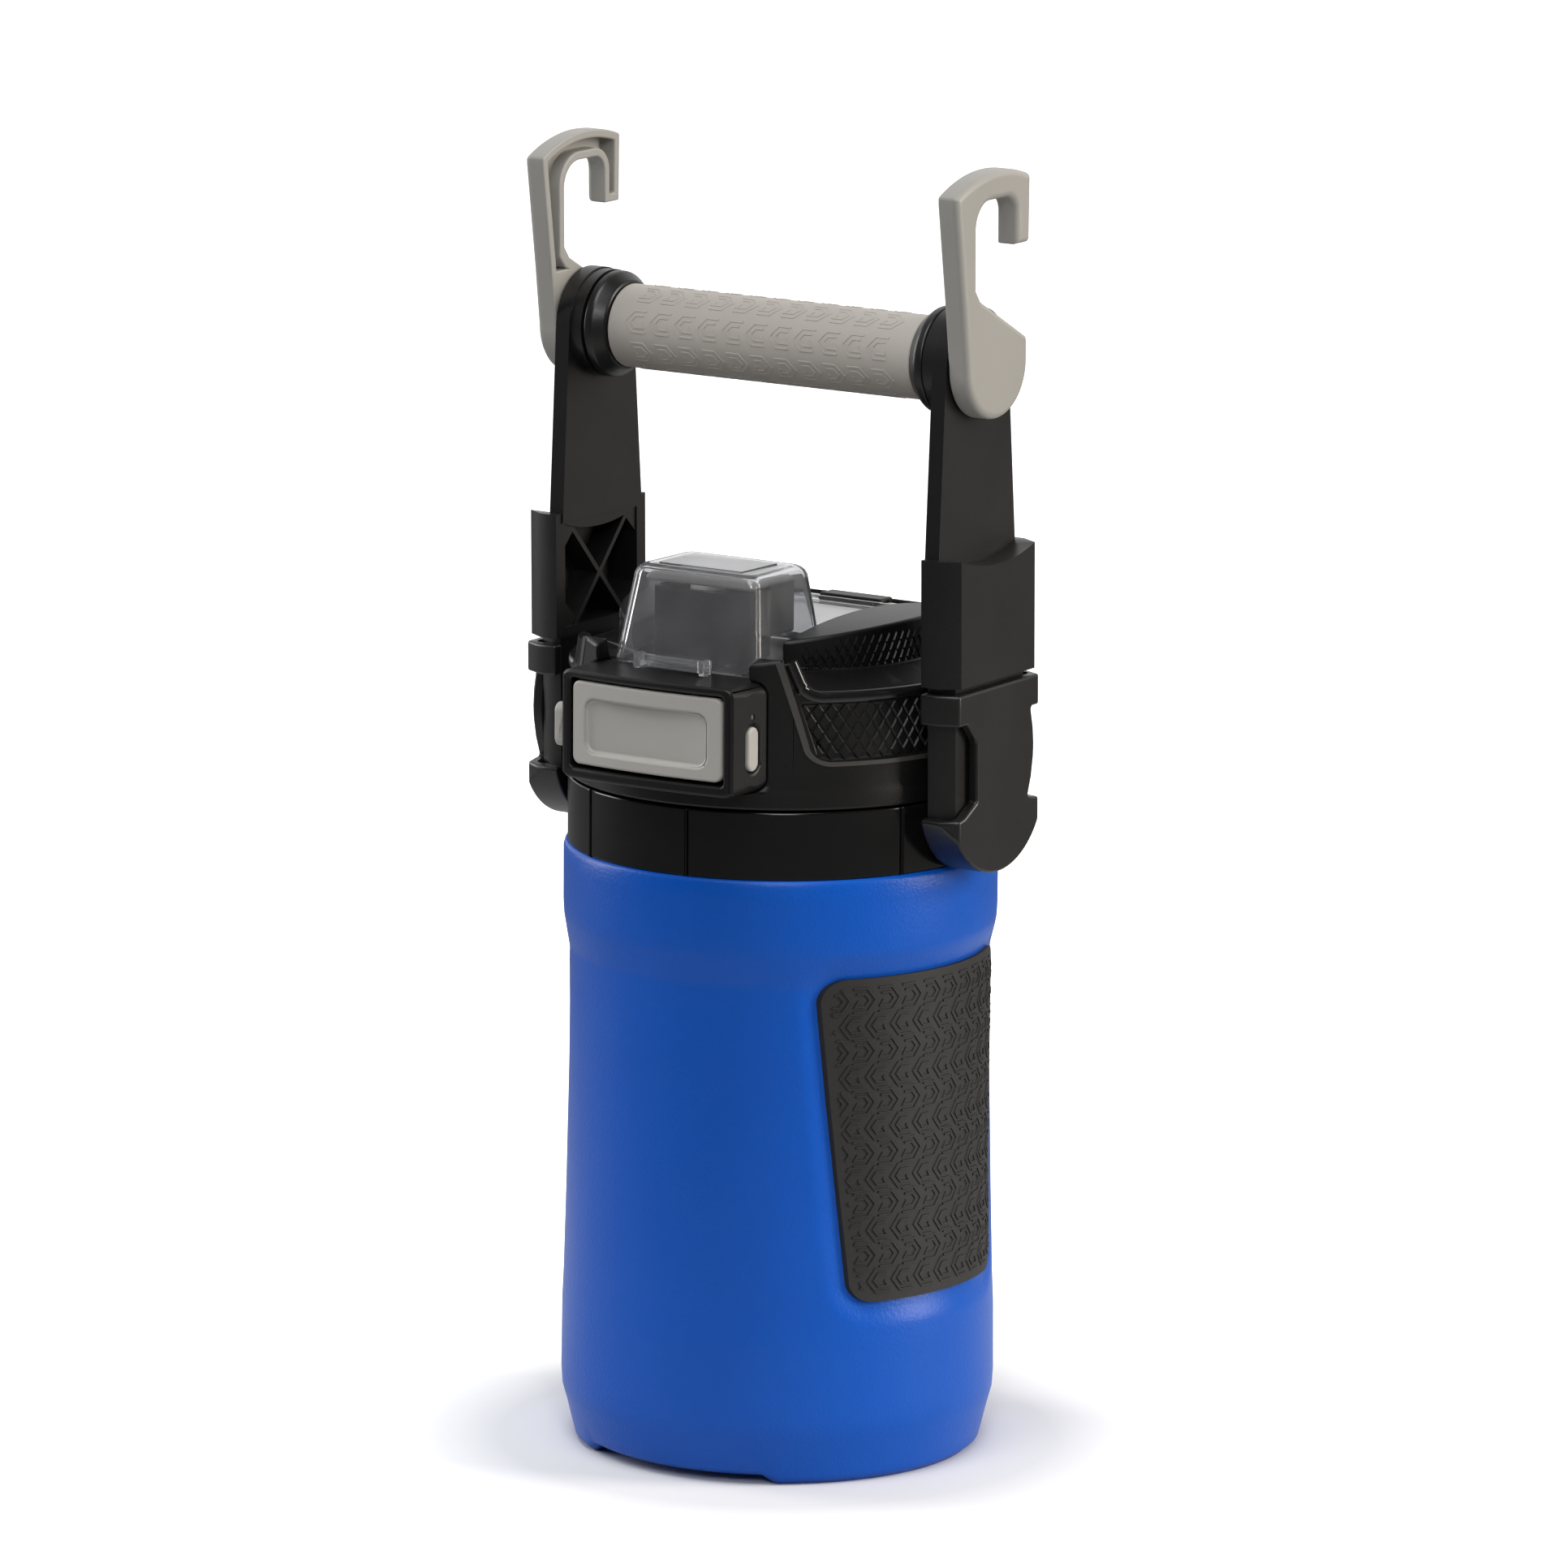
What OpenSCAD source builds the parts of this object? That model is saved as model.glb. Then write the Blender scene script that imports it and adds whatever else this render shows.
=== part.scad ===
// Insulated half-gallon sports jug with a bail handle, two fence hooks and a flip-spout lid.
// Millimetres. +Z is up, the button and the spout face -Y, the handle pegs lie along X.
// The origin is the centre of the base, on the floor.

/* [Jug body] */
// Outer radius of the straight band at the top of the shell
band_r = 66; // [65:0.5:67]
// Outer radius of the narrow waist that the grip panels sit in
waist_r = 64; // [63.5:0.1:64.5]
// Outer radius of the flare just above the base
flare_r = 66.2; // [65.5:0.1:67]
// Radius of the foot ring that stands on the floor
foot_r = 59.6; // [57:0.2:61]
// Height of the shell's top edge
shell_h = 186.6; // [184:0.2:187]
// Inner radius of the food-side liner
liner_r = 55.5; // [54:0.5:55.5]
// Height of the liner's floor above the ground
liner_floor = 10; // [9:0.5:14]

/* [Grip panels] */
// Half-width of a rubber panel at its top edge
panel_top_w = 39.8; // [36:0.2:44]
// Half-width of a rubber panel at its bottom edge
panel_low_w = 33; // [30:0.2:35]
// Turn of the two panels about the jug's axis, away from the handle's pegs
panel_turn = -6.5; // [-12:0.5:12]
// Height of a panel's bottom edge
panel_z0 = 56.5; // [50:0.5:60]
// Height of a panel's top edge
panel_z1 = 155.8; // [150:0.5:156]

/* [Collar and lid] */
// Outer radius of the glossy collar
collar_r = 64.8; // [64:0.1:65]
// Height of the collar's top edge
collar_top = 207.2; // [206:0.2:207.2]
// Outer radius of the lid's skirt
lid_r = 64.9; // [64.2:0.1:65.1]
// Height of the lid's highest point
lid_top = 260; // [258:0.5:262]
// Half-width of each finger recess at its top
recess_top_w = 52.6; // [49:0.2:53]

/* [Handle] */
// Height of the pegs that the handle turns on
peg_z = 196.5; // [196:0.1:197]
// Radius of a peg
peg_r = 6; // [5:0.25:6]
// Height of the grip bar's axis, which the hooks turn on too
grip_z = 339.3; // [338:0.1:341]
// Radius of the grip bar
grip_r = 12.7; // [12:0.1:13.5]
// Distance from the centre plane to the inside of an arm plate
arm_in = 65.8; // [65.7:0.1:66]
// Distance from the centre plane to the outside of an arm plate
arm_out = 70.8; // [70:0.1:70.9]
// Distance from the centre plane to the outside of a hub bracket
hub_out = 78.9; // [78.5:0.1:80]
// Radius of the axle that ties the arms and carries the hooks
axle_r = 4; // [3:0.25:5]

/* [Hooks] */
// Radius of a hook's round lower end
hook_lobe_r = 16.2; // [15.5:0.1:16.6]
// Height of a hook's crown above its pivot
hook_h = 58.2; // [57:0.1:58.6]
// Width of the throat that takes a fence wire or rail
throat_w = 21.2; // [19:0.2:21.4]
// Wall of the hook's channel section
hook_wall = 2.6; // [2:0.1:3]

/* [Button and lock] */
// Half-width of the button housing's front
housing_w = 31; // [30:0.1:31.4]
// Distance from the jug's axis to the middle of the housing's front
housing_y = 74; // [73.5:0.1:75]
// Half-width of the push button
button_w = 27; // [26:0.1:27.2]
// Height of the button's hinge pin
pin_z = 237; // [236.8:0.1:237.4]

/* [Spout and cover] */
// Half-width of the clear dome at its foot
dome_w = 24.8; // [23.5:0.1:25.2]
// Height of the dome's top
dome_top = 276; // [275:0.5:278]
// Wall of the clear cover
cover_wall = 2; // [1.6:0.1:2.2]
// Bore radius of the spout
spout_bore = 6; // [5:0.25:6]
// Distance from the jug's axis back to the cover's hinge
hinge_y = 40; // [39:0.5:41]
// Height of the cover's hinge
hinge_z = 253.2; // [253:0.1:254]

/* [Hidden] */
$fn = 120;

far = 90;                       // past everything sideways
run_gap = 0.06;                 // radial clearance of a running fit
body_gap = 0.4;                 // clearance between bodies that move apart
neck_top = collar_top - 2.8;    // the liner's rim, which the gasket seals on
liner_out = liner_r + 2;
plug_r = liner_r - 1.3;
hub_in = 66.4;                  // inside face of hubs and sleeves
sleeve_out = hub_out - 0.5;
gap_z0 = 242.7;                 // the split between hub bracket and sleeve
gap_z1 = 244.6;
sleeve_top = 283;
scallop_r = hook_h + 1.6;       // the folded crowns nest in this
hook_in = arm_out + 0.4;
hook_out = sleeve_out;
clasp_front = -60.4;
lock_y0 = -64.4;
lock_y1 = -59.2;
lock_z = 227.3;                 // mid height of the lock bar
lock_h = 13.4;
lock_left = -38.9;
pin_y = -61.8;
housing_rear = 32.2;            // half-width of the housing where it meets the lid
lean = 0.9;                     // the handle rests this many degrees forward of upright
spout_y = -38.5;
spout_w = 15.5;                 // half-width of the spout block
spout_front = -46.3;
spout_top = 269.5;
bow_r = 202;                    // radius of the housing's bowed front
box_z0 = 213.5;
box_z1 = 246.5;

module along_x(x0, x1) {
    translate([x0, 0, 0]) rotate([90, 0, 90]) linear_extrude(x1 - x0) children();
}
module along_y(y0, y1) {
    translate([0, y1, 0]) rotate([90, 0, 0]) linear_extrude(y1 - y0) children();
}
module both_sides() {
    children();
    mirror([1, 0, 0]) children();
}
module block(low, high) {
    translate(low) cube(high - low);
}
module tube(outer, inner, z0, z1) {
    difference() {
        translate([0, 0, z0]) cylinder(r = outer, h = z1 - z0);
        translate([0, 0, z0 - 1]) cylinder(r = inner, h = z1 - z0 + 2);
    }
}
module rod_x(r, x0, x1, y, z) {
    translate([x0, y, z]) rotate([0, 90, 0]) cylinder(r = r, h = x1 - x0);
}
module rounded_rect(w, z0, z1, r) {
    polygon([[-w + r, z0], [w - r, z0], [w, z0 + r], [w, z1 - r],
        [w - r, z1], [-w + r, z1], [-w, z1 - r], [-w, z0 + r]]);
    for (x = [-w + r, w - r], z = [z0 + r, z1 - r]) translate([x, z]) circle(r = r);
}

// ---- jug body ----

module shell_outline() {
    polygon([[0, 0], [foot_r, 0], [foot_r + 2.6, 2.2], [foot_r + 3.8, 7], [flare_r - 1.6, 12],
        [flare_r - 0.2, 17.5], [flare_r, 22], [flare_r - 0.2, 43], [waist_r + 1.2, 68],
        [waist_r + 0.6, 94], [waist_r + 0.1, 120], [waist_r, 154.5], [band_r - 0.2, 163.5],
        [band_r, 166], [band_r, shell_h - 2], [band_r - 0.6, shell_h - 0.6],
        [band_r - 1.4, shell_h], [0, shell_h]]);
}
module shell_hollow() {
    polygon([[0, 5.6], [foot_r - 3, 5.6], [61.2, 12], [61.2, 160], [62.8, 165],
        [62.8, shell_h - 3.4], [liner_out, shell_h - 3.4], [liner_out, shell_h + 1], [0, shell_h + 1]]);
}
module panel_face(grow) {
    r = 7 + grow;
    w1 = panel_top_w + grow - r;
    w0 = panel_low_w + grow - r;
    z0 = panel_z0 - grow + r;
    z1 = panel_z1 + grow - r;
    polygon([[-w0, z0 - r], [w0, z0 - r], [w0 + r, z0], [w1 + r, z1], [w1, z1 + r],
        [-w1, z1 + r], [-w1 - r, z1], [-w0 - r, z0]]);
    for (s = [-1, 1]) {
        translate([s * w0, z0]) circle(r = r);
        translate([s * w1, z1]) circle(r = r);
    }
}
module panel_seat() {
    rotate_extrude() polygon([[waist_r - 1.6, 40], [far, 40], [far, 170], [waist_r - 1.6, 170]]);
}
module outer_shell() {
    foot_cut_half = 29;
    foot_cut_h = 2.6;
    color("#0b4db3") difference() {
        rotate_extrude() shell_outline();
        rotate_extrude() shell_hollow();
        translate([0, 0, -1]) cylinder(r = 50, h = 3.4);
        translate([0, 0, -1]) cylinder(r = 8, h = 9);
        for (turn = [-90, 90])
            rotate([0, 0, turn - foot_cut_half]) translate([0, 0, -1])
                rotate_extrude(angle = 2 * foot_cut_half) square([far, foot_cut_h + 1]);
        for (side = [0, 180]) rotate([0, 0, panel_turn + side]) intersection() {
            panel_seat();
            along_x(10, far) panel_face(0.25);
        }
    }
}
module grip_panel() {
    intersection() {
        rotate_extrude() polygon([[waist_r - 1.5, 40], [flare_r - 0.3, 40], [waist_r + 1.2, 70],
            [waist_r + 0.5, 94], [waist_r + 0.2, 120], [waist_r + 0.2, 170], [waist_r - 1.5, 170]]);
        along_x(10, far) panel_face(0);
    }
}
module grip_panel_right() { color("#26282a") rotate([0, 0, panel_turn]) grip_panel(); }
module grip_panel_left() { color("#26282a") rotate([0, 0, panel_turn + 180]) grip_panel(); }
module insulation_foam() {
    color("#f0e8c8") difference() {
        rotate_extrude() shell_hollow();
        translate([0, 0, liner_floor - 2]) cylinder(r = liner_out, h = shell_h);
    }
}
module inner_liner() {
    color("white") difference() {
        translate([0, 0, liner_floor - 2]) cylinder(r = liner_out, h = neck_top - liner_floor + 2);
        translate([0, 0, liner_floor]) cylinder(r = liner_r, h = neck_top);
    }
}
module foam_plug() {
    color("#0a3f94") union() {
        translate([0, 0, 1]) cylinder(r = 10, h = 1.4);
        translate([0, 0, 1]) cylinder(r = 7.9, h = 4.4);
    }
}
module collar_ring() {
    flute_w = 0.8;
    color("#101112") difference() {
        union() {
            tube(collar_r, liner_out, shell_h, collar_top);
            both_sides() rod_x(peg_r, 58.5, 76.4, 0, peg_z);
        }
        for (turn = [-118, -81.7, -22, 62, 98.3, 158])
            rotate([0, 0, turn]) block([collar_r - 0.2, -flute_w / 2, shell_h - 1],
                [far, flute_w / 2, collar_top + 1]);
    }
}

// ---- handle ----

module leaning() {
    translate([0, 0, peg_z]) rotate([lean, 0, 0]) translate([0, 0, -peg_z]) children();
}

module arm_plate_face() {
    polygon([[-20.9, sleeve_top - 3], [20.9, sleeve_top - 3], [16.9, grip_z], [-16.9, grip_z]]);
    translate([0, grip_z]) circle(r = 16.8);
}
module sleeve_section(front, chamfer_y, x_in, x_out) {
    x_mid = x_in + (x_out - x_in) * 0.49;
    polygon([[x_in, -front], [x_mid, -front], [x_out, -chamfer_y], [x_out, chamfer_y],
        [x_mid, front], [x_in, front]]);
}
module rib_cross() {
    rib = 1.5;
    w = 19;
    for (s = [-1, 1]) translate([0, (gap_z1 + 279) / 2])
        rotate(s * 42) square([rib, 60], center = true);
    for (s = [-1, 1]) {
        translate([s * w, 249.5]) rotate(45) square([9, 9], center = true);
        translate([s * w, 278]) rotate(45) square([9, 9], center = true);
    }
}
module handle_arm() {
    difference() {
        union() {
            along_x(arm_in, arm_out) arm_plate_face();
            rod_x(16.4, 61.9, arm_in + 1, 0, grip_z);
            difference() {
                translate([0, 0, gap_z1]) linear_extrude(sleeve_top - gap_z1)
                    sleeve_section(23.6, 20, hub_in, sleeve_out);
                along_x(arm_out, far) translate([0, grip_z]) circle(r = scallop_r);
            }
            translate([0, 0, 203.6]) linear_extrude(gap_z1 - 202.6)
                sleeve_section(20.8, 18.4, 67, 75.3);
        }
        difference() {
            along_x(60, 75.6) difference() {
                translate([-19, gap_z1 + 3]) square([38, 33.5]);
                translate([0, grip_z]) circle(r = scallop_r + 3);
            }
            along_x(67, 76) rib_cross();
        }
        rod_x(axle_r, 50, far, 0, grip_z);
    }
}
module handle_arm_right() { color("#17181a") leaning() handle_arm(); }
module handle_arm_left() { color("#17181a") leaning() mirror([1, 0, 0]) handle_arm(); }

// the front of the plate is cut away in a deep notch, its rear edge bulges; both end in a barb
module hub_face() {
    bulb_z = 211.1;
    bulb_r = 25.3;
    lip_z = 204.1;
    band_z = 233.3;
    translate([-24.6, band_z]) square([49.2, gap_z0 - band_z]);
    intersection() {
        translate([0, bulb_z]) circle(r = bulb_r);
        polygon([[-25, 180], [25, 180], [25, lip_z + 0.4], [16.2, 206], [-11.8, lip_z + 5],
            [-18.5, lip_z + 1.2], [-25, lip_z]]);
    }
    polygon([[-12, lip_z + 4], [16, lip_z + 1.9], [18, 212], [19.1, 218], [19.3, 222], [18.9, 227],
        [17.8, 232], [17.8, 235], [-17, 235], [-17, band_z + 0.2], [-12, 227.5]]);
}
module hub_bracket() {
    core_x = 75.4;
    difference() {
        intersection() {
            along_x(hub_in, hub_out) hub_face();
            translate([0, 0, 180]) linear_extrude(80)
                sleeve_section(24.6, 21.7, hub_in, hub_out);
        }
        block([60, -20.9, 203.4], [core_x, 20.9, 250]);
        rod_x(peg_r + run_gap, 50, 76.6, 0, peg_z);
    }
}
module hub_bracket_right() { color("#1b1c1e") leaning() hub_bracket(); }
module hub_bracket_left() { color("#1b1c1e") leaning() rotate([0, 0, 180]) hub_bracket(); }

module grip_axle() {
    color("silver") leaning() rod_x(axle_r, -75.6, 75.6, 0, grip_z);
}
module grip_core() {
    color("#2a2b2d") leaning() difference() {
        rod_x(10, -61.4, 61.4, 0, grip_z);
        rod_x(axle_r, -far, far, 0, grip_z);
    }
}
module grip_sleeve() {
    color("#a29f9a") leaning() difference() {
        rod_x(grip_r, -54.8, 54.8, 0, grip_z);
        rod_x(10, -far, far, 0, grip_z);
    }
}
module grip_flange() {
    color("#17181a") translate([0, 0, grip_z]) rotate([0, 90, 0]) rotate_extrude()
        polygon([[10, 55], [13.4, 55], [16.2, 58.6], [16.2, 61.3], [10, 61.3]]);
}
module grip_flange_right() { leaning() grip_flange(); }
module grip_flange_left() { leaning() mirror([1, 0, 0]) grip_flange(); }
module axle_clips() {
    // spring clips that hold the arms on the axle, in the gap beside each flange
    color("silver") leaning() both_sides() difference() {
        rod_x(7, 61.4, 61.9, 0, grip_z);
        rod_x(axle_r, 50, far, 0, grip_z);
    }
}

// ---- fence hooks ----

// the profile's coordinates start at the hook's pivot; inset draws it smaller all round
module hook_throat(inset) {
    y0 = -11.2;
    y1 = throat_w - 11.2;
    front_r = 8;
    back_r = 5;
    top = 49.6;
    polygon([[y0 - inset, 24 - inset], [y0 - inset, top - front_r], [y0 + front_r, top + inset],
        [y1 - back_r, top + inset], [y1 + inset, top - back_r], [y1 + inset, 34.7 + inset],
        [30, 34.7 + inset], [30, -1], [15.6, 7 - inset], [-8.6 - inset, 20.4 - inset]]);
    translate([y0 + front_r, top - front_r]) circle(r = front_r + inset);
    translate([y1 - back_r, top - back_r]) circle(r = back_r + inset);
}
module hook_bend(inset) {
    crown_r = 50;
    difference() {
        intersection() {
            translate([1, hook_h - crown_r]) circle(r = crown_r - inset);
            polygon([[-hook_lobe_r + inset, 0], [-18.3 + inset, 19], [-22.2 + inset, 50],
                [-22.6 + inset, 62], [18.1 - inset, 62], [17.4 - inset, 34], [16, 0]]);
        }
        hook_throat(inset);
    }
}
module fence_hook() {
    recess_z = 17;
    difference() {
        along_x(hook_in, hook_out) translate([0, grip_z]) {
            difference() {
                union() {
                    circle(r = hook_lobe_r);
                    square([hook_lobe_r, 16]);
                }
                hook_throat(0);
            }
            hook_bend(0);
        }
        along_x(hook_in - 1, hook_out - 2.4) translate([0, grip_z]) intersection() {
            hook_bend(hook_wall);
            translate([-30, recess_z]) square([60, 50]);
        }
        rod_x(axle_r + run_gap, hook_in - 1, 76, 0, grip_z);
    }
}
module hook_right() { color("#a09e99") leaning() fence_hook(); }
module hook_left() { color("#a09e99") leaning() mirror([1, 0, 0]) fence_hook(); }

// ---- lid ----

module lid_gasket() {
    color("#d8d8d4") tube(liner_out - 0.1, plug_r + body_gap, neck_top + 0.15, collar_top + 0.3);
}
module top_crown() {
    crown_r = 210;
    translate([-far, 0, lid_top - crown_r]) rotate([0, 90, 0]) cylinder(r = crown_r, h = 2 * far, $fn = 360);
}
module cover_channel(half, lift) {
    along_x(-half, half) polygon([[-80, 246.2 + lift], [-54, 246.2 + lift], [-18, 251.2 + lift],
        [50, 251.2 + lift], [50, 300], [-80, 300]]);
}
module finger_recess() {
    foot_w = recess_top_w - 6.2;
    intersection() {
        rotate_extrude() {
            polygon([[49, 247.5], [49, 300], [far, 300], [far, 243.5], [61.5, 243.5]]);
            translate([62.7, 222.5]) square([30, 17.4]);
        }
        along_x(20, far) union() {
            polygon([[-foot_w, 226.5], [-foot_w + 4, 222.5], [foot_w - 4, 222.5], [foot_w, 226.5],
                [recess_top_w, 253], [recess_top_w + 1.2, 300], [-recess_top_w - 1.2, 300],
                [-recess_top_w, 253]]);
            for (s = [-1, 1]) translate([s * (foot_w - 4), 226.5]) circle(r = 4);
        }
    }
}
module housing_block() {
    intersection() {
        translate([0, 0, box_z0]) linear_extrude(box_z1 - box_z0) intersection() {
            polygon([[-housing_w, -80], [housing_w, -80], [housing_w, -71],
                [housing_rear, -54.5], [housing_rear, -50], [-housing_rear, -50],
                [-housing_rear, -54.5], [-housing_w, -71]]);
            translate([0, bow_r - housing_y]) circle(r = bow_r, $fn = 360);
        }
        along_y(-80, -40) rounded_rect(housing_rear, box_z0, box_z1, 4.5);
    }
}
module lid_shell() {
    color("#1a1b1d") difference() {
        intersection() {
            rotate_extrude() polygon([[0, 207.8], [lid_r, 207.8], [lid_r, 213.5], [lid_r - 0.7, 215],
                [lid_r - 0.7, 270], [0, 270]]);
            top_crown();
        }
        translate([0, 0, 200]) cylinder(r = 61.4, h = 39.4);
        translate([0, 0, 239]) cylinder(r = 46.4, h = 6.6);
        both_sides() finger_recess();
        cover_channel(27.4, 0);
        block([-22, hinge_y - 5, 248], [22, hinge_y + 5, 300]);
        housing_block();
        translate([0, spout_y, 230]) cylinder(r = spout_bore + 2.1, h = 40);
    }
}
module lid_plug() {
    color("#2b2c2e") difference() {
        union() {
            translate([0, 0, 192]) cylinder(r = plug_r, h = 16);
            translate([0, 0, 207.8]) cylinder(r = 61.3, h = 2.4);
        }
        translate([0, 0, 194.4]) cylinder(r = plug_r - 2.4, h = 30);
        translate([0, spout_y, 180]) cylinder(r = spout_bore, h = 30);
        translate([0, 20, 180]) cylinder(r = 2.2, h = 30);
    }
}
module lid_foam() {
    color("#f0e8c8") difference() {
        union() {
            translate([0, 0, 195.6]) cylinder(r = plug_r - 2.5, h = 14.7);
            translate([0, 0, 210.2]) cylinder(r = 45, h = 34);
        }
        translate([0, spout_y, 190]) cylinder(r = spout_bore + 2.1, h = 60);
        block([-40, -60, 210.2], [40, -48, 260]);
    }
}
module vent_valve() {
    color("#d8d8d4") translate([0, 20, 0]) {
        translate([0, 0, 190.8]) cylinder(r = 5, h = 1.2);
        translate([0, 0, 190.8]) cylinder(r = 2.1, h = 4.6);
        translate([0, 0, 194.4]) cylinder(r = 3, h = 1);
    }
}
module spout() {
    color("#0e0f10") difference() {
        union() {
            translate([0, spout_y, 194.4]) cylinder(r = spout_bore + 2, h = 60);
            intersection() {
                translate([0, 0, 240]) linear_extrude(spout_top - 240) {
                    translate([-spout_w, spout_front + 2.5]) square([2 * spout_w, 13.3]);
                    translate([-spout_w + 2.5, spout_front]) square([2 * spout_w - 5, 15]);
                    for (s = [-1, 1]) translate([s * (spout_w - 2.5), spout_front + 2.5]) circle(r = 2.5);
                }
                cover_channel(far, 0.02);
            }
        }
        translate([0, spout_y, 180]) cylinder(r = spout_bore, h = 100);
    }
}
module lock_slot(grow) {
    half = (lock_y1 - lock_y0) / 2;
    for (z = [lock_z - lock_h / 2 + half, lock_z + lock_h / 2 - half])
        translate([(lock_y0 + lock_y1) / 2, z]) circle(r = half + grow);
    translate([lock_y0 - grow, lock_z - lock_h / 2 + half])
        square([2 * (half + grow), lock_h - 2 * half]);
}
module button_housing() {
    color("#1a1b1d") difference() {
        housing_block();
        block([-button_w - 0.6, -80, 216.9], [button_w + 0.6, -57, 244]);
        along_x(-far, far) lock_slot(0.3);
        rod_x(0.9, -far, far, pin_y, pin_z);
        translate([0, spout_y, 200]) cylinder(r = 14, h = 60);
    }
}
module hinge_knuckle() {
    color("#17181a") difference() {
        union() {
            block([-11.3, hinge_y - 3.4, 248], [11.3, hinge_y + 4.8, hinge_z]);
            block([-11.3, hinge_y - 3.4, 252], [11.3, hinge_y + 3.4, 256]);
        }
        rod_x(1.5, -20, 20, hinge_y, hinge_z);
    }
}
module cover_hinge_pin() {
    color("silver") rod_x(1.5, -20.6, 20.6, hinge_y, hinge_z);
}
module button_pin() {
    color("silver") rod_x(0.9, -31.3, 31.3, pin_y, pin_z);
}
module button_springs() {
    // return springs, each a close-wound coil on the button's pin
    color("silver") for (x = [-14, 8]) difference() {
        rod_x(2, x, x + 6, pin_y, pin_z);
        rod_x(1.1, x - 1, x + 7, pin_y, pin_z);
    }
}

// ---- spout cover ----

// a trapezium with rounded top corners, from its two feet [u, z], its top's two ends and its top
module dome_outline(foot0, foot1, u0, u1, top, r) {
    polygon([foot0, [u0, top - r], [u0 + r, top], [u1 - r, top], [u1, top - r], foot1]);
    for (u = [u0 + r, u1 - r]) translate([u, top - r]) circle(r = r);
}
module dome_form(inset) {
    r = 5 - inset;
    drop = 2 * inset;
    foot = dome_w - inset;
    crown = dome_w - 2.8 - inset;
    top = dome_top - inset;
    intersection() {
        along_x(-far, far) dome_outline([-53 + inset, 246.6 - drop], [-17.5 - inset, 251.6 - drop],
            -48.5 + inset, -19.5 - inset, top, r);
        along_y(-far, far) dome_outline([-foot, 242], [foot, 242], -crown, crown, top, r);
    }
}
module spout_cover() {
    clasp_w = 10.7;
    color("#d9dde2", 0.4) difference() {
        union() {
            dome_form(0);
            block([-clasp_w, clasp_front, 247.4], [clasp_w, -51.5, 249.2]);
            block([-clasp_w, clasp_front, 247.4], [clasp_w, clasp_front + 1.8, 251.4]);
            for (s = [-1, 1]) block([s * clasp_w - 1, clasp_front, 246.8], [s * clasp_w + 1, -56, 251.4]);
            cover_plate();
            both_sides() rod_x(2.8, 11.8, 21, hinge_y, hinge_z);
        }
        dome_form(cover_wall);
        block([-11.8, hinge_y - 5.6, 240], [11.8, hinge_y + 10, 270]);
        rod_x(1.5 + run_gap, -25, 25, hinge_y, hinge_z);
    }
}
module cover_plate() {
    translate([0, 0, 252.2]) linear_extrude(2.2)
        polygon([[-25.4, -20], [25.4, -20], [21, hinge_y], [-21, hinge_y]]);
}
module cover_cap() {
    // grey liner inside the dome: a roof over the spout on two side legs and a rear wall,
    // with a pad on top that is welded to the dome
    leg_in = 16.2;
    leg_out = 19.4;
    roof_z = dome_top - 5.4;
    top_z = dome_top - cover_wall - 0.4;
    color("#a29f9a") difference() {
        union() {
            along_y(-44, -23.4) polygon([[-leg_out, 256], [leg_out, 256], [leg_out, top_z - 1.8],
                [leg_out - 2.2, top_z], [2.2 - leg_out, top_z], [-leg_out, top_z - 1.8]]);
            block([-16, -43, top_z - 1], [16, -25, dome_top - cover_wall]);
        }
        block([-leg_in, -60, 250], [leg_in, -28, roof_z]);
        block([-far, -60, 250], [far, -37, roof_z]);
    }
}
module cover_seal() {
    color("#e4e4e0") translate([0, spout_y, 268.5]) cylinder(r = spout_bore - 0.4, h = 2.1);
}

// ---- button and lock ----

module push_button() {
    rear = -68.6;
    color("#a29f9a") difference() {
        union() {
            intersection() {
                along_y(-80, rear) rounded_rect(button_w, 218, 243.4, 2.6);
                translate([0, bow_r - housing_y + 0.5, 200]) cylinder(r = bow_r, h = 60, $fn = 360);
            }
            for (x = [-20, 17]) {
                block([x, rear - 1, 235], [x + 3, pin_y, 239.2]);
                rod_x(2.2, x, x + 3, pin_y, pin_z);
            }
            block([-3, rear - 1, 225], [3, lock_y0 - 0.35, 230]);
        }
        along_y(-80, -71.4) rounded_rect(21.9, 222, 238.2, 3.5);
        rod_x(0.9 + run_gap, -30, 30, pin_y, pin_z);
    }
}
module lock_slider() {
    color("#a29f9a") difference() {
        along_x(lock_left, 32) lock_slot(0);
        block([-26, -80, lock_z + 3.5], [25, -50, 250]);
        block([-26, -80, 210], [25, -50, lock_z - 3.5]);
        block([-4.2, -80, 210], [4.2, lock_y0 + 2.8, 250]);
    }
}

outer_shell();
insulation_foam();
inner_liner();
foam_plug();
collar_ring();
grip_panel_right();
grip_panel_left();
handle_arm_right();
handle_arm_left();
hub_bracket_right();
hub_bracket_left();
grip_axle();
grip_core();
grip_sleeve();
grip_flange_right();
grip_flange_left();
hook_right();
hook_left();
axle_clips();
lid_gasket();
lid_shell();
lid_plug();
lid_foam();
vent_valve();
spout();
button_housing();
hinge_knuckle();
cover_hinge_pin();
button_pin();
button_springs();
spout_cover();
cover_cap();
cover_seal();
push_button();
lock_slider();
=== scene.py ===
import math

import bmesh
import bpy
from mathutils import Matrix, Vector


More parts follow.
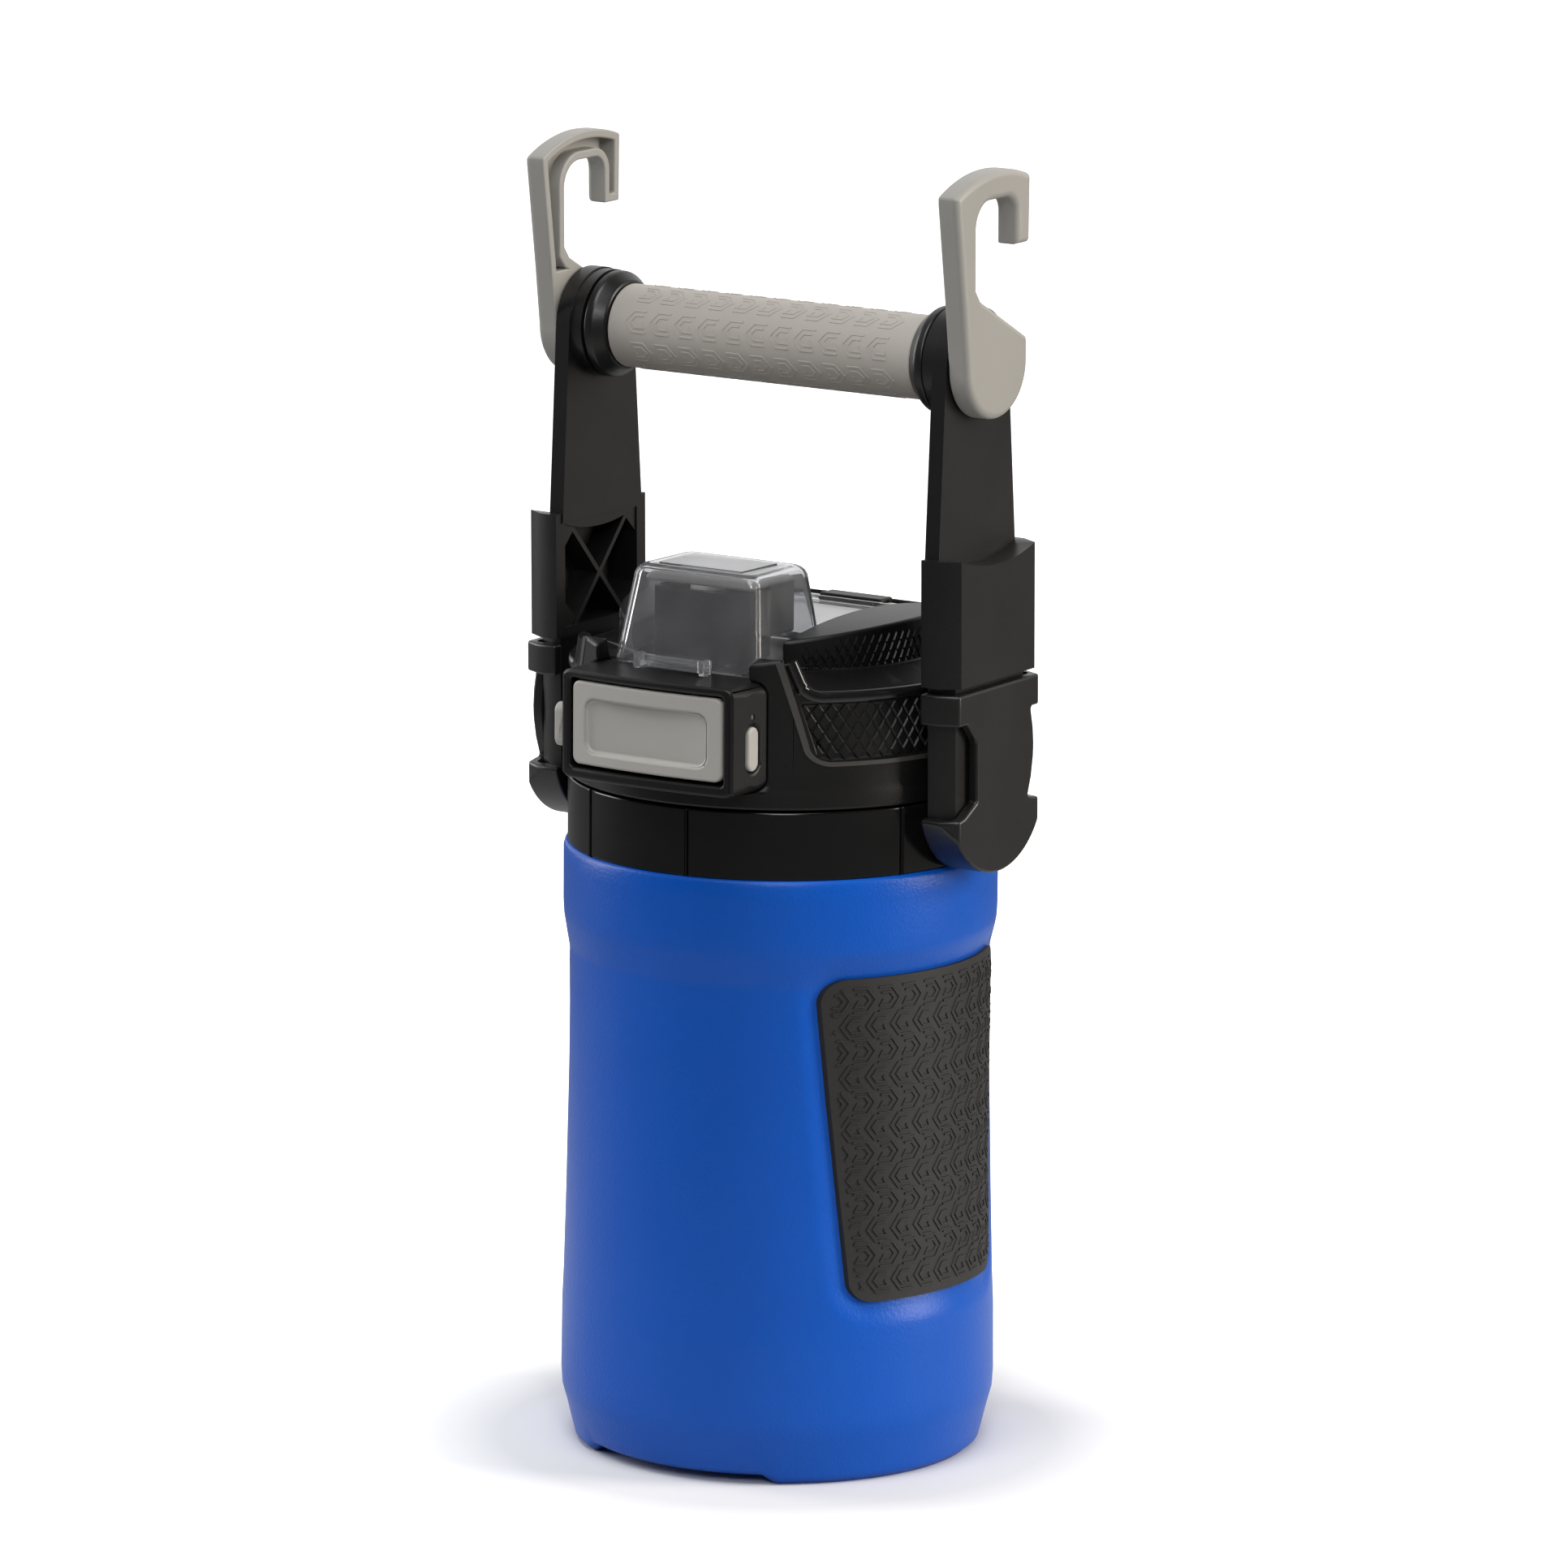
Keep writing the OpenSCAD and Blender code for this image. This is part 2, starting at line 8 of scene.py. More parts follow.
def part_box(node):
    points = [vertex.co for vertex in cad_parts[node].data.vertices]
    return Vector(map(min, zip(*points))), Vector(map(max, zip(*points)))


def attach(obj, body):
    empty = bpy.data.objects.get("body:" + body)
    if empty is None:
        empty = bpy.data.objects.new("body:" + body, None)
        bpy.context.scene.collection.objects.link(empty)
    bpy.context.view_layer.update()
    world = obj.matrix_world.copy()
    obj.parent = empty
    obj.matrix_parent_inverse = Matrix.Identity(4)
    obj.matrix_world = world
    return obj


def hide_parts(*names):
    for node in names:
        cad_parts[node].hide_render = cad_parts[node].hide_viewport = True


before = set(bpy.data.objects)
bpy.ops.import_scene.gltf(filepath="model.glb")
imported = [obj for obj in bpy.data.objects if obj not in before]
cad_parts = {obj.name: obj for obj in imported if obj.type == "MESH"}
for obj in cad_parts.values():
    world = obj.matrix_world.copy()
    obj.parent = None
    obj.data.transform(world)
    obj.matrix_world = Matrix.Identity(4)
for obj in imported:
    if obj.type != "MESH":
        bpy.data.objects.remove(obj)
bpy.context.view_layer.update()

# ---- Outer shell -------------------------------------------------------------------------
# The blow-moulded skin of the jug, in coloured polyethylene with a fine leather grain left by
# the mould. A shallow dished border is moulded round the seat of each rubber panel, and the
# foot is relieved at the front and back so that the jug stands on two arcs.

MM = 0.001


class Wire:
    """One socket of a shader. Sums on it add Math nodes, and node() adds any other node."""

    def __init__(self, tree, socket=None):
        self.tree, self.socket = tree, socket

    def node(self, kind, settings=None, links=None, out=0):
        made = self.tree.nodes.new(kind)
        for name, value in (settings or {}).items():
            if name == "stops":
                for stop, (place, shade) in zip(made.color_ramp.elements, value):
                    stop.position, stop.color = place, (*shade, 1)
            else:
                setattr(made, name, value)
        for name, value in (links or {}).items():
            if isinstance(value, Wire):
                self.tree.links.new(value.socket, made.inputs[name])
            else:
                made.inputs[name].default_value = value
        return Wire(self.tree, made.outputs[out] if made.outputs else None)

    def sum(self, operation, first, second):
        return self.node("ShaderNodeMath", {"operation": operation}, {0: first, 1: second})

    def __add__(self, other):
        return self.sum("ADD", self, other)

    def __radd__(self, other):
        return self.sum("ADD", other, self)

    def __sub__(self, other):
        return self.sum("SUBTRACT", self, other)

    def __rsub__(self, other):
        return self.sum("SUBTRACT", other, self)

    def __mul__(self, other):
        return self.sum("MULTIPLY", self, other)

    def __rmul__(self, other):
        return self.sum("MULTIPLY", other, self)


def noise(wire, place, size_mm, detail=3.0, roughness=0.55):
    return wire.node("ShaderNodeTexNoise", {"noise_dimensions": "3D"}, {
        "Vector": place, "Scale": 1 / (size_mm * MM), "Detail": detail, "Roughness": roughness})


def blended(wire, share, first, second):
    """The mix of two colours, by a share from 0 to 1."""
    return wire.node("ShaderNodeMix", {"data_type": "RGBA"}, {
        "Factor": share, "A": (*first, 1), "B": (*second, 1)}, out=2)


def moulded_finish(name, shade, worn_tone_and_sheen, gloss, grain_mm, grain_depth_mm, grain_detail=2.0, fixed=None):
    """Moulded plastic or rubber: cloudy colour, mould grain in the bump, uneven gloss."""
    finish = bpy.data.materials.new(name)
    finish.use_nodes = True
    finish.node_tree.nodes.clear()
    wire = Wire(finish.node_tree)
    place = wire.node("ShaderNodeTexCoord", out=3)
    cloud = noise(wire, place, 34, 4.0)
    speck = noise(wire, place, 1.1, 2.0)
    share = cloud * 0.75 + speck * 0.25
    colour = blended(wire, share, shade, worn_tone_and_sheen)
    grain = noise(wire, place, grain_mm, grain_detail)
    rough = gloss + (cloud - 0.5) * 0.10 + (grain - 0.5) * 0.10
    bump = wire.node("ShaderNodeBump", None, {
        "Height": grain, "Strength": 1.0, "Distance": grain_depth_mm * MM})
    surface = wire.node("ShaderNodeBsdfPrincipled", None, {
        "Base Color": colour, "Roughness": rough, "Normal": bump, **(fixed or {})})
    wire.node("ShaderNodeOutputMaterial", None, {"Surface": surface})
    return finish


def between(low, high, share):
    return low + (high - low) * share


def eased(share):
    share = min(max(share, 0.0), 1.0)
    return share * share * (3 - 2 * share)


def along(profile, z):
    """The radius that a profile of (radius, height) points has at a height, all in mm."""
    for (r0, z0), (r1, z1) in zip(profile, profile[1:]):
        if z0 <= z <= z1 and z1 > z0:
            return between(r0, r1, (z - z0) / (z1 - z0))
    return profile[-1][0] if z > profile[-1][1] else profile[0][0]


SHELL_PROFILE = [(59.6, 0), (62.0, 2), (63.3, 7), (64.5, 12), (65.9, 17), (66.2, 22), (66.05, 43),
                 (65.6, 53), (65.2, 68), (64.9, 79), (64.6, 94), (64.3, 108), (64.1, 120), (64.0, 145),
                 (64.15, 154), (65.0, 159), (65.8, 164), (66.0, 168), (66.0, 184.6), (65.6, 186.0)]
PANEL_FOOT, PANEL_HEAD = 56.5, 155.8
PANEL_FOOT_ARC, PANEL_HEAD_ARC, PANEL_CORNER = 34.6, 43.0, 7.0
PANEL_TURN = math.radians(-6.5)


def past_panel(arc, z):
    """How far a point lies outside the outline of a grip panel, in mm along the skin."""
    side = between(PANEL_FOOT_ARC, PANEL_HEAD_ARC, (z - PANEL_FOOT) / (PANEL_HEAD - PANEL_FOOT))
    across = abs(arc) - side + PANEL_CORNER
    upward = max(PANEL_FOOT - z, z - PANEL_HEAD) + PANEL_CORNER
    outside = math.hypot(max(across, 0), max(upward, 0))
    return outside + min(max(across, upward), 0) - PANEL_CORNER


def add_piece(name, form, finish, body, slot_name, *nodes):
    """Puts a finished bmesh in the scene as a named piece that stands for its CAD nodes."""
    mesh = bpy.data.meshes.new(name)
    bmesh.ops.recalc_face_normals(form, faces=form.faces)
    form.to_mesh(mesh)
    form.free()
    mesh.materials.append(finish)
    piece = bpy.data.objects.new(name, mesh)
    bpy.context.scene.collection.objects.link(piece)
    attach(piece, body)
    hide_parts(*nodes)
    return piece


def smoothed(piece, crease_deg=38):
    """Smooth shading with hard creases only where faces meet at a real corner."""
    form = bmesh.new()
    form.from_mesh(piece.data)
    for face in form.faces:
        face.smooth = True
    for edge in form.edges:
        edge.smooth = len(edge.link_faces) == 2 and edge.calc_face_angle(0) < math.radians(crease_deg)
    form.to_mesh(piece.data)
    form.free()
    return piece


def lathed(form, rings, steps, spot):
    """Joins rings of points, each closed on itself; spot(ring, step) gives a point in mm."""
    rows = [[form.verts.new(Vector(spot(ring, step)) * MM) for step in range(steps)] for ring in range(rings)]
    for low, high in zip(rows, rows[1:]):
        for step in range(steps):
            after = (step + 1) % steps
            form.faces.new((low[step], low[after], high[after], high[step]))
    return rows


def shell_heights():
    low = [0, 0.7, 1.4, 2, 3, 4.5, 7, 9, 12, 14, 17, 19.5, 22, 26, 30, 36]
    high = [PANEL_FOOT - 16 + 1.1 * i for i in range(120)]
    return low + [z for z in high if 38 < z < 169] + [174, 180, 184.6, 185.5, 186.0]


HEIGHTS = shell_heights()
PANEL_DISH, DISH_WIDTH = 1.45, 8.5
SEAT_DEPTH, SEAT_MARGIN = 0.25, 0.4
FOOT_RELIEF, FOOT_HALF_DEG, FOOT_RAMP_DEG = 2.7, 29.0, 6.0
FOOT_BLEND = 9.0  # the relief has faded out at this height
BASE_RINGS = ((12, 3.0), (46, 3.0), (50, 2.6))
RIM_RINGS = ((65.0, 186.5), (64.2, 186.6), (58.2, 186.6))


SHELL_STEPS = 480


def from_x_axis(turn):
    """The angle between a direction and the nearer end of the X axis."""
    return abs(math.remainder(turn, math.pi))


def shell_spot(ring, step):
    turn = 2 * math.pi * step / SHELL_STEPS
    from_front = 90 - math.degrees(from_x_axis(turn))
    lift = FOOT_RELIEF * (1 - eased((from_front - FOOT_HALF_DEG) / FOOT_RAMP_DEG))
    if ring < 4:
        # underside: base plate, its raised step and the foot's inner edge
        radius, z = (*BASE_RINGS, (57.4, lift))[ring]
        return radius * math.cos(turn), radius * math.sin(turn), z
    if ring >= 4 + len(HEIGHTS):
        radius, z = RIM_RINGS[ring - 4 - len(HEIGHTS)]
        return radius * math.cos(turn), radius * math.sin(turn), z
    z = HEIGHTS[ring - 4]
    radius = along(SHELL_PROFILE, z)
    gap = past_panel(radius * from_x_axis(turn - PANEL_TURN), z)
    radius -= PANEL_DISH * (1 - eased(gap / DISH_WIDTH)) + (SEAT_DEPTH if gap < -SEAT_MARGIN else 0)
    z = lift + z * (1 - lift / FOOT_BLEND) if z < FOOT_BLEND else z
    return radius * math.cos(turn), radius * math.sin(turn), z


POLYETHYLENE_BLUE = (0.001, 0.078, 0.46)
POLYETHYLENE_PALE = (0.002, 0.092, 0.50)
blue_grain = moulded_finish("shell_blue_grain", POLYETHYLENE_BLUE, POLYETHYLENE_PALE, 0.35, 0.95, 0.10,
                            fixed={"Specular IOR Level": 0.28})
shell_form = bmesh.new()
rows = lathed(shell_form, 4 + len(HEIGHTS) + len(RIM_RINGS), SHELL_STEPS, shell_spot)
shell_form.faces.new(rows[0])
shell = smoothed(add_piece("shell_skin", shell_form, blue_grain, "jug", "shell", "outer_shell"), 50)

# ---- Foam port plug, foam and liner ------------------------------------------------------
# The foam is poured between shell and liner through a hole under the base, which a pushed-in
# disc closes. The liner is a smooth food-safe cup, whose rim the lid gasket sits on. The
# solids are right as they stand, so they only take their finishes.

foam_cells = moulded_finish("foam_cells", (0.78, 0.66, 0.40), (0.9, 0.82, 0.6), 0.85, 0.8, 0.25, 4.0)
liner_white = moulded_finish("liner_white", (0.78, 0.78, 0.75), (0.86, 0.86, 0.84), 0.24, 3.0, 0.01)
for node, finish in (("foam_plug", blue_grain), ("insulation_foam", foam_cells),
                     ("lid_foam", foam_cells), ("inner_liner", liner_white)):
    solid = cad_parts[node]
    solid.data.materials.clear()
    solid.data.materials.append(finish)

# ---- Grip panels -------------------------------------------------------------------------
# Two soft rubber pads bonded into their seats on the shell's sides, with rows of nested
# arrowheads raised on them for grip. Each row points the other way from the last.


def rounded_solid(node, form=None):
    """A clean copy of a CAD node's mesh, its flat faces whole again."""
    form = form or bmesh.new()
    form.from_mesh(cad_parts[node].data)
    bmesh.ops.remove_doubles(form, verts=form.verts, dist=0.004 * MM)
    bmesh.ops.dissolve_limit(form, angle_limit=math.radians(0.6), verts=form.verts, edges=form.edges)
    return form


def moulded_copy(node, name, finish, body, slot_name, radius_mm, steps=3, corner_deg=32, clamped=False,
                 kept_sharp=lambda edge: False):
    """A CAD node with the rounded corners that a mould gives it, but for the edges that stay sharp."""
    form = rounded_solid(node)
    if clamped:
        bmesh.ops.connect_verts_concave(form, faces=form.faces)
    weight = form.edges.layers.float.new("bevel_weight_edge")
    for edge in form.edges:
        edge[weight] = float(edge.calc_face_angle(0) > math.radians(corner_deg) and not kept_sharp(edge))
    piece = add_piece(name, form, finish, body, slot_name, node)
    corner = piece.modifiers.new("corner", "BEVEL")
    corner.width, corner.segments, corner.limit_method = radius_mm * MM, steps, "WEIGHT"
    corner.use_clamp_overlap, corner.miter_outer = clamped, "MITER_ARC"
    corner.harden_normals = False
    evened = piece.modifiers.new("evened", "WEIGHTED_NORMAL")
    evened.keep_sharp, evened.weight = True, 60
    return smoothed(piece, 60)


def rib(form, path, surface, width=0.55, height=0.35, skirt=0.28, closed=False):
    """A raised line along a path of (u, v) points, with mitred corners; surface() bends it to shape."""
    count = len(path)
    spread = []
    for i, point in enumerate(path):
        before = path[(i - 1) % count] if closed or i else None
        after = path[(i + 1) % count] if closed or i < count - 1 else None
        ways = []
        if before:
            ways.append((Vector(point) - Vector(before)).normalized())
        if after:
            ways.append((Vector(after) - Vector(point)).normalized())
        way = sum(ways, Vector((0, 0))).normalized()
        normal = Vector((-way.y, way.x))
        stretch = 1 / max(normal.dot(Vector((-ways[0].y, ways[0].x))), 0.35)
        spread.append((Vector(point), normal * stretch))
    sections = []
    for point, normal in spread:
        corners = []
        for side, up in ((-1, -0.15), (-1, height), (1, height), (1, -0.15)):
            half = width / 2 + (skirt / 2 if up < 0 else 0)
            spot = point + normal * side * half
            corners.append(form.verts.new(Vector(surface(spot.x, spot.y, up)) * MM))
        sections.append(corners)
    pairs = list(zip(sections, sections[1:])) + ([(sections[-1], sections[0])] if closed else [])
    for first, second in pairs:
        for a, b in ((0, 1), (1, 2), (2, 3)):
            form.faces.new((first[a], first[b], second[b], second[a]))
    if not closed:
        form.faces.new(sections[0])
        form.faces.new(list(reversed(sections[-1])))


def fine(path, step):
    """The same path with its long stretches divided, so that it can follow a curved surface."""
    out = [path[0]]
    for (u0, v0), (u1, v1) in zip(path, path[1:]):
        parts = max(1, math.ceil(math.hypot(u1 - u0, v1 - v0) / step))
        out += [(between(u0, u1, i / parts), between(v0, v1, i / parts)) for i in range(1, parts + 1)]
    return out


def arrowhead(u, v, way, pitch, height):
    """The nested outlines of one arrowhead, centred on (u, v) and pointing along u by way (1 or -1)."""
    outer = [(-0.46, 0.50), (0.10, 0.50), (0.44, 0.0), (0.10, -0.50), (-0.46, -0.50)]
    inner = [(-0.34, 0.27), (0.00, 0.27), (0.19, 0.0), (0.00, -0.27), (-0.40, -0.27), (-0.26, -0.02)]
    return [[(u + way * a * pitch, v + b * height) for a, b in outline] for outline in (outer, inner)]


PANEL_SKIN = [(65.9, 40), (65.2, 70), (64.5, 94), (64.2, 120), (64.2, 170)]
PANEL_ROWS, PANEL_COLUMNS, PANEL_MARGIN, COLUMN_PITCH = 12, 12, 2.6, 8.3
FAR_OFF = 999  # a point past every outline, which ends the last rib
RUBBER_DARK, RUBBER_DUSTY = (0.0100, 0.0100, 0.0097), (0.0175, 0.0175, 0.0168)
rubber_black = moulded_finish("rubber_black", RUBBER_DARK, RUBBER_DUSTY, 0.58, 0.5, 0.03,
                              fixed={"Specular IOR Level": 0.45})

for side, node in ((1, "grip_panel_right"), (-1, "grip_panel_left")):
    pad = moulded_copy(node, f"{node}_pad", rubber_black, "jug", "panel", 1.3, clamped=True)

    def on_panel(arc, z, up, side=side):
        radius = along(PANEL_SKIN, z) + up
        turn = arc / along(PANEL_SKIN, z) + PANEL_TURN
        return side * radius * math.cos(turn), side * radius * math.sin(turn), z

    relief_form = bmesh.new()
    row_pitch = (PANEL_HEAD - PANEL_FOOT - 2 * PANEL_MARGIN) / PANEL_ROWS
    for row in range(PANEL_ROWS):
        z = PANEL_FOOT + PANEL_MARGIN + (row + 0.5) * row_pitch
        way = 1 if row % 2 else -1
        for column in range(-PANEL_COLUMNS // 2 - 1, PANEL_COLUMNS // 2 + 2):
            middle = (column + 0.5 * (row % 2)) * COLUMN_PITCH
            for outline in arrowhead(middle, z, way, 8.0, row_pitch * 0.92):
                path = []
                for arc, height in fine(outline, 1.5) + [(FAR_OFF, z)]:
                    if past_panel(arc, height) < -PANEL_MARGIN:
                        path.append((arc, height))
                        continue
                    if len(path) > 1:
                        rib(relief_form, path, on_panel)
                    path = []
    relief = add_piece(f"{node}_relief", relief_form, rubber_black, "jug", "panel")

# ---- Collar ------------------------------------------------------------------------------
# The glossy injection-moulded neck ring that closes the shell's mouth and carries the lid's
# thread and the two pegs that the handle turns on. It is pressed on over the liner's rim.

GLOSS_BLACK, GLOSS_SOFT = (0.0035, 0.0035, 0.0038), (0.0060, 0.0060, 0.0062)
collar_gloss = moulded_finish("collar_gloss", GLOSS_BLACK, GLOSS_SOFT, 0.16, 6.0, 0.012,
                              fixed={"Specular IOR Level": 0.36})
moulded_copy("collar_ring", "collar_neck_ring", collar_gloss, "jug", "collar", 0.45)

# ---- Handle ------------------------------------------------------------------------------
# Two glass-filled nylon arms slide down into sockets on the hub brackets, which snap over the
# collar's pegs. A steel axle ties the arms at the top and runs through the grip bar's core.

NYLON_BLACK, NYLON_SOFT = (0.0045, 0.0045, 0.0047), (0.0075, 0.0075, 0.0075)
nylon = moulded_finish("nylon_satin", NYLON_BLACK, NYLON_SOFT, 0.36, 0.45, 0.018,
                       fixed={"Specular IOR Level": 0.50})
steel = moulded_finish("steel_turned", (0.52, 0.52, 0.53), (0.62, 0.62, 0.63), 0.3, 0.3, 0.004,
                       fixed={"Metallic": 1.0})
for side in ("right", "left"):
    moulded_copy(f"handle_arm_{side}", f"arm_{side}", nylon, "handle", "frame", 0.8, clamped=True)
    moulded_copy(f"hub_bracket_{side}", f"hub_{side}", nylon, "handle", "frame", 0.8)
    moulded_copy(f"grip_flange_{side}", f"flange_{side}", nylon, "handle", "frame", 0.7)
moulded_copy("grip_core", "grip_core_bar", nylon, "handle", "frame", 0.4)
for node in ("grip_axle", "axle_clips"):
    moulded_copy(node, f"{node}_steel", steel, "handle", "steel", 0.15)

# ---- Grip sleeve -------------------------------------------------------------------------
# A soft warm-grey rubber sleeve pushed over the grip bar's core, with four visible rows of
# raised arrowheads round it.

GRIP_RADIUS = 12.7
low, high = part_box("grip_sleeve")
grip_y, grip_z = (low.y + high.y) / 2 / MM, (low.z + high.z) / 2 / MM
ROWS_ROUND, ARROWS_LONG, ARROW_PITCH, ARROW_STAGGER = 8, 11, 8.75, 0.12
SLEEVE_GREY, SLEEVE_PALE = (0.390, 0.365, 0.335), (0.430, 0.405, 0.372)
sleeve_rubber = moulded_finish("sleeve_grey_rubber", SLEEVE_GREY, SLEEVE_PALE, 0.60, 0.5, 0.02,
                               fixed={"Specular IOR Level": 0.35})
moulded_copy("grip_sleeve", "grip_sleeve_tube", sleeve_rubber, "handle", "grip", 0.6)


def on_grip(x, arc, up):
    turn = arc / GRIP_RADIUS
    radius = GRIP_RADIUS + up
    return x, grip_y - radius * math.cos(turn), grip_z + radius * math.sin(turn)


grip_form = bmesh.new()
grip_row = 2 * math.pi * GRIP_RADIUS / ROWS_ROUND
for row in range(ROWS_ROUND):
    for column in range(ARROWS_LONG):
        way = 1 if row % 2 else -1
        x = (column - (ARROWS_LONG - 1) / 2 + ARROW_STAGGER * way) * ARROW_PITCH
        for outline in arrowhead(x, (row + 0.35) * grip_row, way, 8.0, grip_row * 0.66):
            rib(grip_form, fine(outline, 1.2), on_grip, 0.5, 0.16, 0.35)
add_piece("grip_sleeve_relief", grip_form, sleeve_rubber, "handle", "grip")

# ---- Fence hooks -------------------------------------------------------------------------
# Grey nylon hooks on the ends of the axle, hollow on the inner side to keep the wall even.
# They stand up to hang the jug on a fence and fold down along the arms.

HOOK_GREY, HOOK_PALE = (0.300, 0.293, 0.272), (0.340, 0.331, 0.308)
hook_nylon = moulded_finish("hook_grey_nylon", HOOK_GREY, HOOK_PALE, 0.44, 0.5, 0.015,
                            fixed={"Specular IOR Level": 0.45})
for side, body in (("right", "hook_r"), ("left", "hook_l")):
    low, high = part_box(f"hook_{side}")
    outer = high.x if side == "right" else low.x
    hook_form = rounded_solid(f"hook_{side}")
    rim = [e for e in hook_form.edges if len(e.link_faces) == 2 and e.calc_face_angle(0) > 0.6
           and all(abs(v.co.x - outer) < 0.02 * MM for v in e.verts)]
    bmesh.ops.bevel(hook_form, geom=rim, offset=2.2 * MM, segments=5, profile=0.5, affect="EDGES",
                    clamp_overlap=False)
    piece = add_piece(f"hook_{side}_moulding", hook_form, hook_nylon, body, "hook", f"hook_{side}")
    corner = piece.modifiers.new("corner", "BEVEL")
    corner.width, corner.segments, corner.limit_method = 0.55 * MM, 3, "ANGLE"
    corner.angle_limit, corner.use_clamp_overlap = math.radians(40), False
    evened = piece.modifiers.new("evened", "WEIGHTED_NORMAL")
    evened.keep_sharp = True
    smoothed(piece, 60)

# ---- Lid ---------------------------------------------------------------------------------
# The lid is one black polypropylene shell with a finger recess cut into each side, over a
# plug that fills the neck. A silicone gasket seals it, and a duckbill valve lets air in.

POLYPROP_BLACK, POLYPROP_SOFT = (0.0030, 0.0030, 0.0031), (0.0060, 0.0060, 0.0060)
lid_plastic = moulded_finish("lid_black_grain", POLYPROP_BLACK, POLYPROP_SOFT, 0.40, 0.5, 0.03,
                             fixed={"Specular IOR Level": 0.32})
silicone = moulded_finish("silicone_pale", (0.62, 0.62, 0.60), (0.72, 0.72, 0.70), 0.5, 1.2, 0.01)
moulded_copy("lid_shell", "lid_dome", lid_plastic, "lid", "lid", 0.9)
moulded_copy("lid_plug", "lid_neck_plug", lid_plastic, "lid", "lid", 0.6)
moulded_copy("lid_gasket", "lid_gasket_ring", silicone, "lid_seal", "seal", 0.5)
moulded_copy("vent_valve", "vent_valve_cup", silicone, "lid", "seal", 0.3)


def knurl(form, side, radius, up, z_low, z_high, half_arc, wide, tall, inside):
    """Staggered rows of small flat-topped diamonds on an upright round wall, where inside(arc, z)."""
    rows = int((z_high - z_low) / (tall / 2)) - 1
    for row in range(rows):
        z = z_low + tall / 2 * (row + 1)
        columns = int(half_arc / wide) + 2
        for column in range(-columns, columns + 1):
            arc = (column + 0.5 * (row % 2)) * wide
            if not inside(abs(arc) + wide / 2, z + tall / 3):
                continue
            rings = []
            for share, rise in ((0.94, -0.05), (0.66, up)):
                ring = []
                for across, height in ((-wide / 2, 0), (0, -tall / 2), (wide / 2, 0), (0, tall / 2)):
                    turn, reach = (arc + across * share) / radius, radius + rise
                    ring.append(form.verts.new(Vector(
                        (side * reach * math.cos(turn), reach * math.sin(turn), z + height * share)) * MM))
                rings.append(ring)
            for a in range(4):
                b = (a + 1) % 4
                form.faces.new((rings[0][a], rings[0][b], rings[1][b], rings[1][a]))
            form.faces.new(rings[1])


def crown(across):
    return 259.2 - across ** 2 / 420


def in_lower_wall(arc, z):
    return arc < between(51.5, 57.0, (z - 222.5) / 17) and z < 242.5


def in_upper_wall(arc, z):
    return arc < 43 and z < crown(arc)


# each wall's radius, the diamonds' rise, the rows' foot and head, half the wall's width, and a
# diamond's width and height
LOWER_WALL = (62.7, 0.4, 221.6, 240.8, 56, 4.2, 6.4)
UPPER_WALL = (49.0, 0.35, 243.4, 260.0, 44, 2.9, 5.6)
knurl_form = bmesh.new()
for side in (1, -1):
    knurl(knurl_form, side, *LOWER_WALL, in_lower_wall)
    knurl(knurl_form, side, *UPPER_WALL, in_upper_wall)
add_piece("lid_finger_knurl", knurl_form, lid_plastic, "lid", "lid")


def on_round(side, radius):
    """The surface function of an upright round wall, by the distance across it and the height."""
    def place(across, z, up):
        turn = math.asin(max(-1, min(1, across / radius)))
        return side * (radius + up) * math.cos(turn), (radius + up) * math.sin(turn), z
    return place


def bead(form, spots, radius, sides=10):
    """A round bead swept along points in mm."""
    rings = []
    for i, spot in enumerate(spots):
        way = (spots[min(i + 1, len(spots) - 1)] - spots[max(i - 1, 0)]).normalized()
        across = way.cross(Vector((0, 0, 1)) if abs(way.z) < 0.9 else Vector((0, 1, 0))).normalized()
        up = across.cross(way)
        rings.append([form.verts.new((spot + radius * (math.cos(a) * across + math.sin(a) * up)) * MM)
                      for a in (2 * math.pi * j / sides for j in range(sides))])
    for first, second in zip(rings, rings[1:]):
        for j in range(sides):
            k = (j + 1) % sides
            form.faces.new((first[j], first[k], second[k], second[j]))
    form.faces.new(rings[0])
    form.faces.new(rings[-1])


def filleted(half, low_z, high_half, high_z, radius, steps=7):
    """A wide U of (across, height) points with rounded feet."""
    lean = (high_half - half) / (high_z - low_z)
    path = [(high_half, high_z)]
    for i in range(steps + 1):
        a = math.pi / 2 * i / steps
        path.append((half - radius + radius * math.cos(a) + lean * (radius - radius * math.sin(a)),
                     low_z + radius - radius * math.sin(a)))
    return path + [(-across, z) for across, z in reversed(path)]


# The recess has a chamfer round it, coloured a light grey as a painted highlight, and a polished
# lip between its two walls. Each runs along a U: half width and height at the foot, the same at
# the head, and the foot's corner.
CHAMFER_U, CHAMFER_RADIUS = (47.6, 221.6, 53.6, 252.6, 4.6), 64.15
LIP_U, LIP_RADIUS, LIP_BEAD = (47.6, 241.7, 50.4, 252.4, 3.4), 62.8, 2.05
# the chamfer's two greys are a painted highlight, about ten times lighter than the lid's black
CHAMFER_SHEEN_DARK, CHAMFER_SHEEN_PALE = (0.034, 0.032, 0.030), (0.060, 0.057, 0.052)
LIP_BLACK, LIP_SOFT = (0.006, 0.006, 0.0062), (0.010, 0.010, 0.0102)
chamfer_sheen_finish = moulded_finish("lid_chamfer_sheen", CHAMFER_SHEEN_DARK, CHAMFER_SHEEN_PALE, 0.40, 0.5, 0.02)
lip_finish = moulded_finish("lid_lip_gloss", LIP_BLACK, LIP_SOFT, 0.15, 5.0, 0.01)
chamfer_form, lip_form = bmesh.new(), bmesh.new()
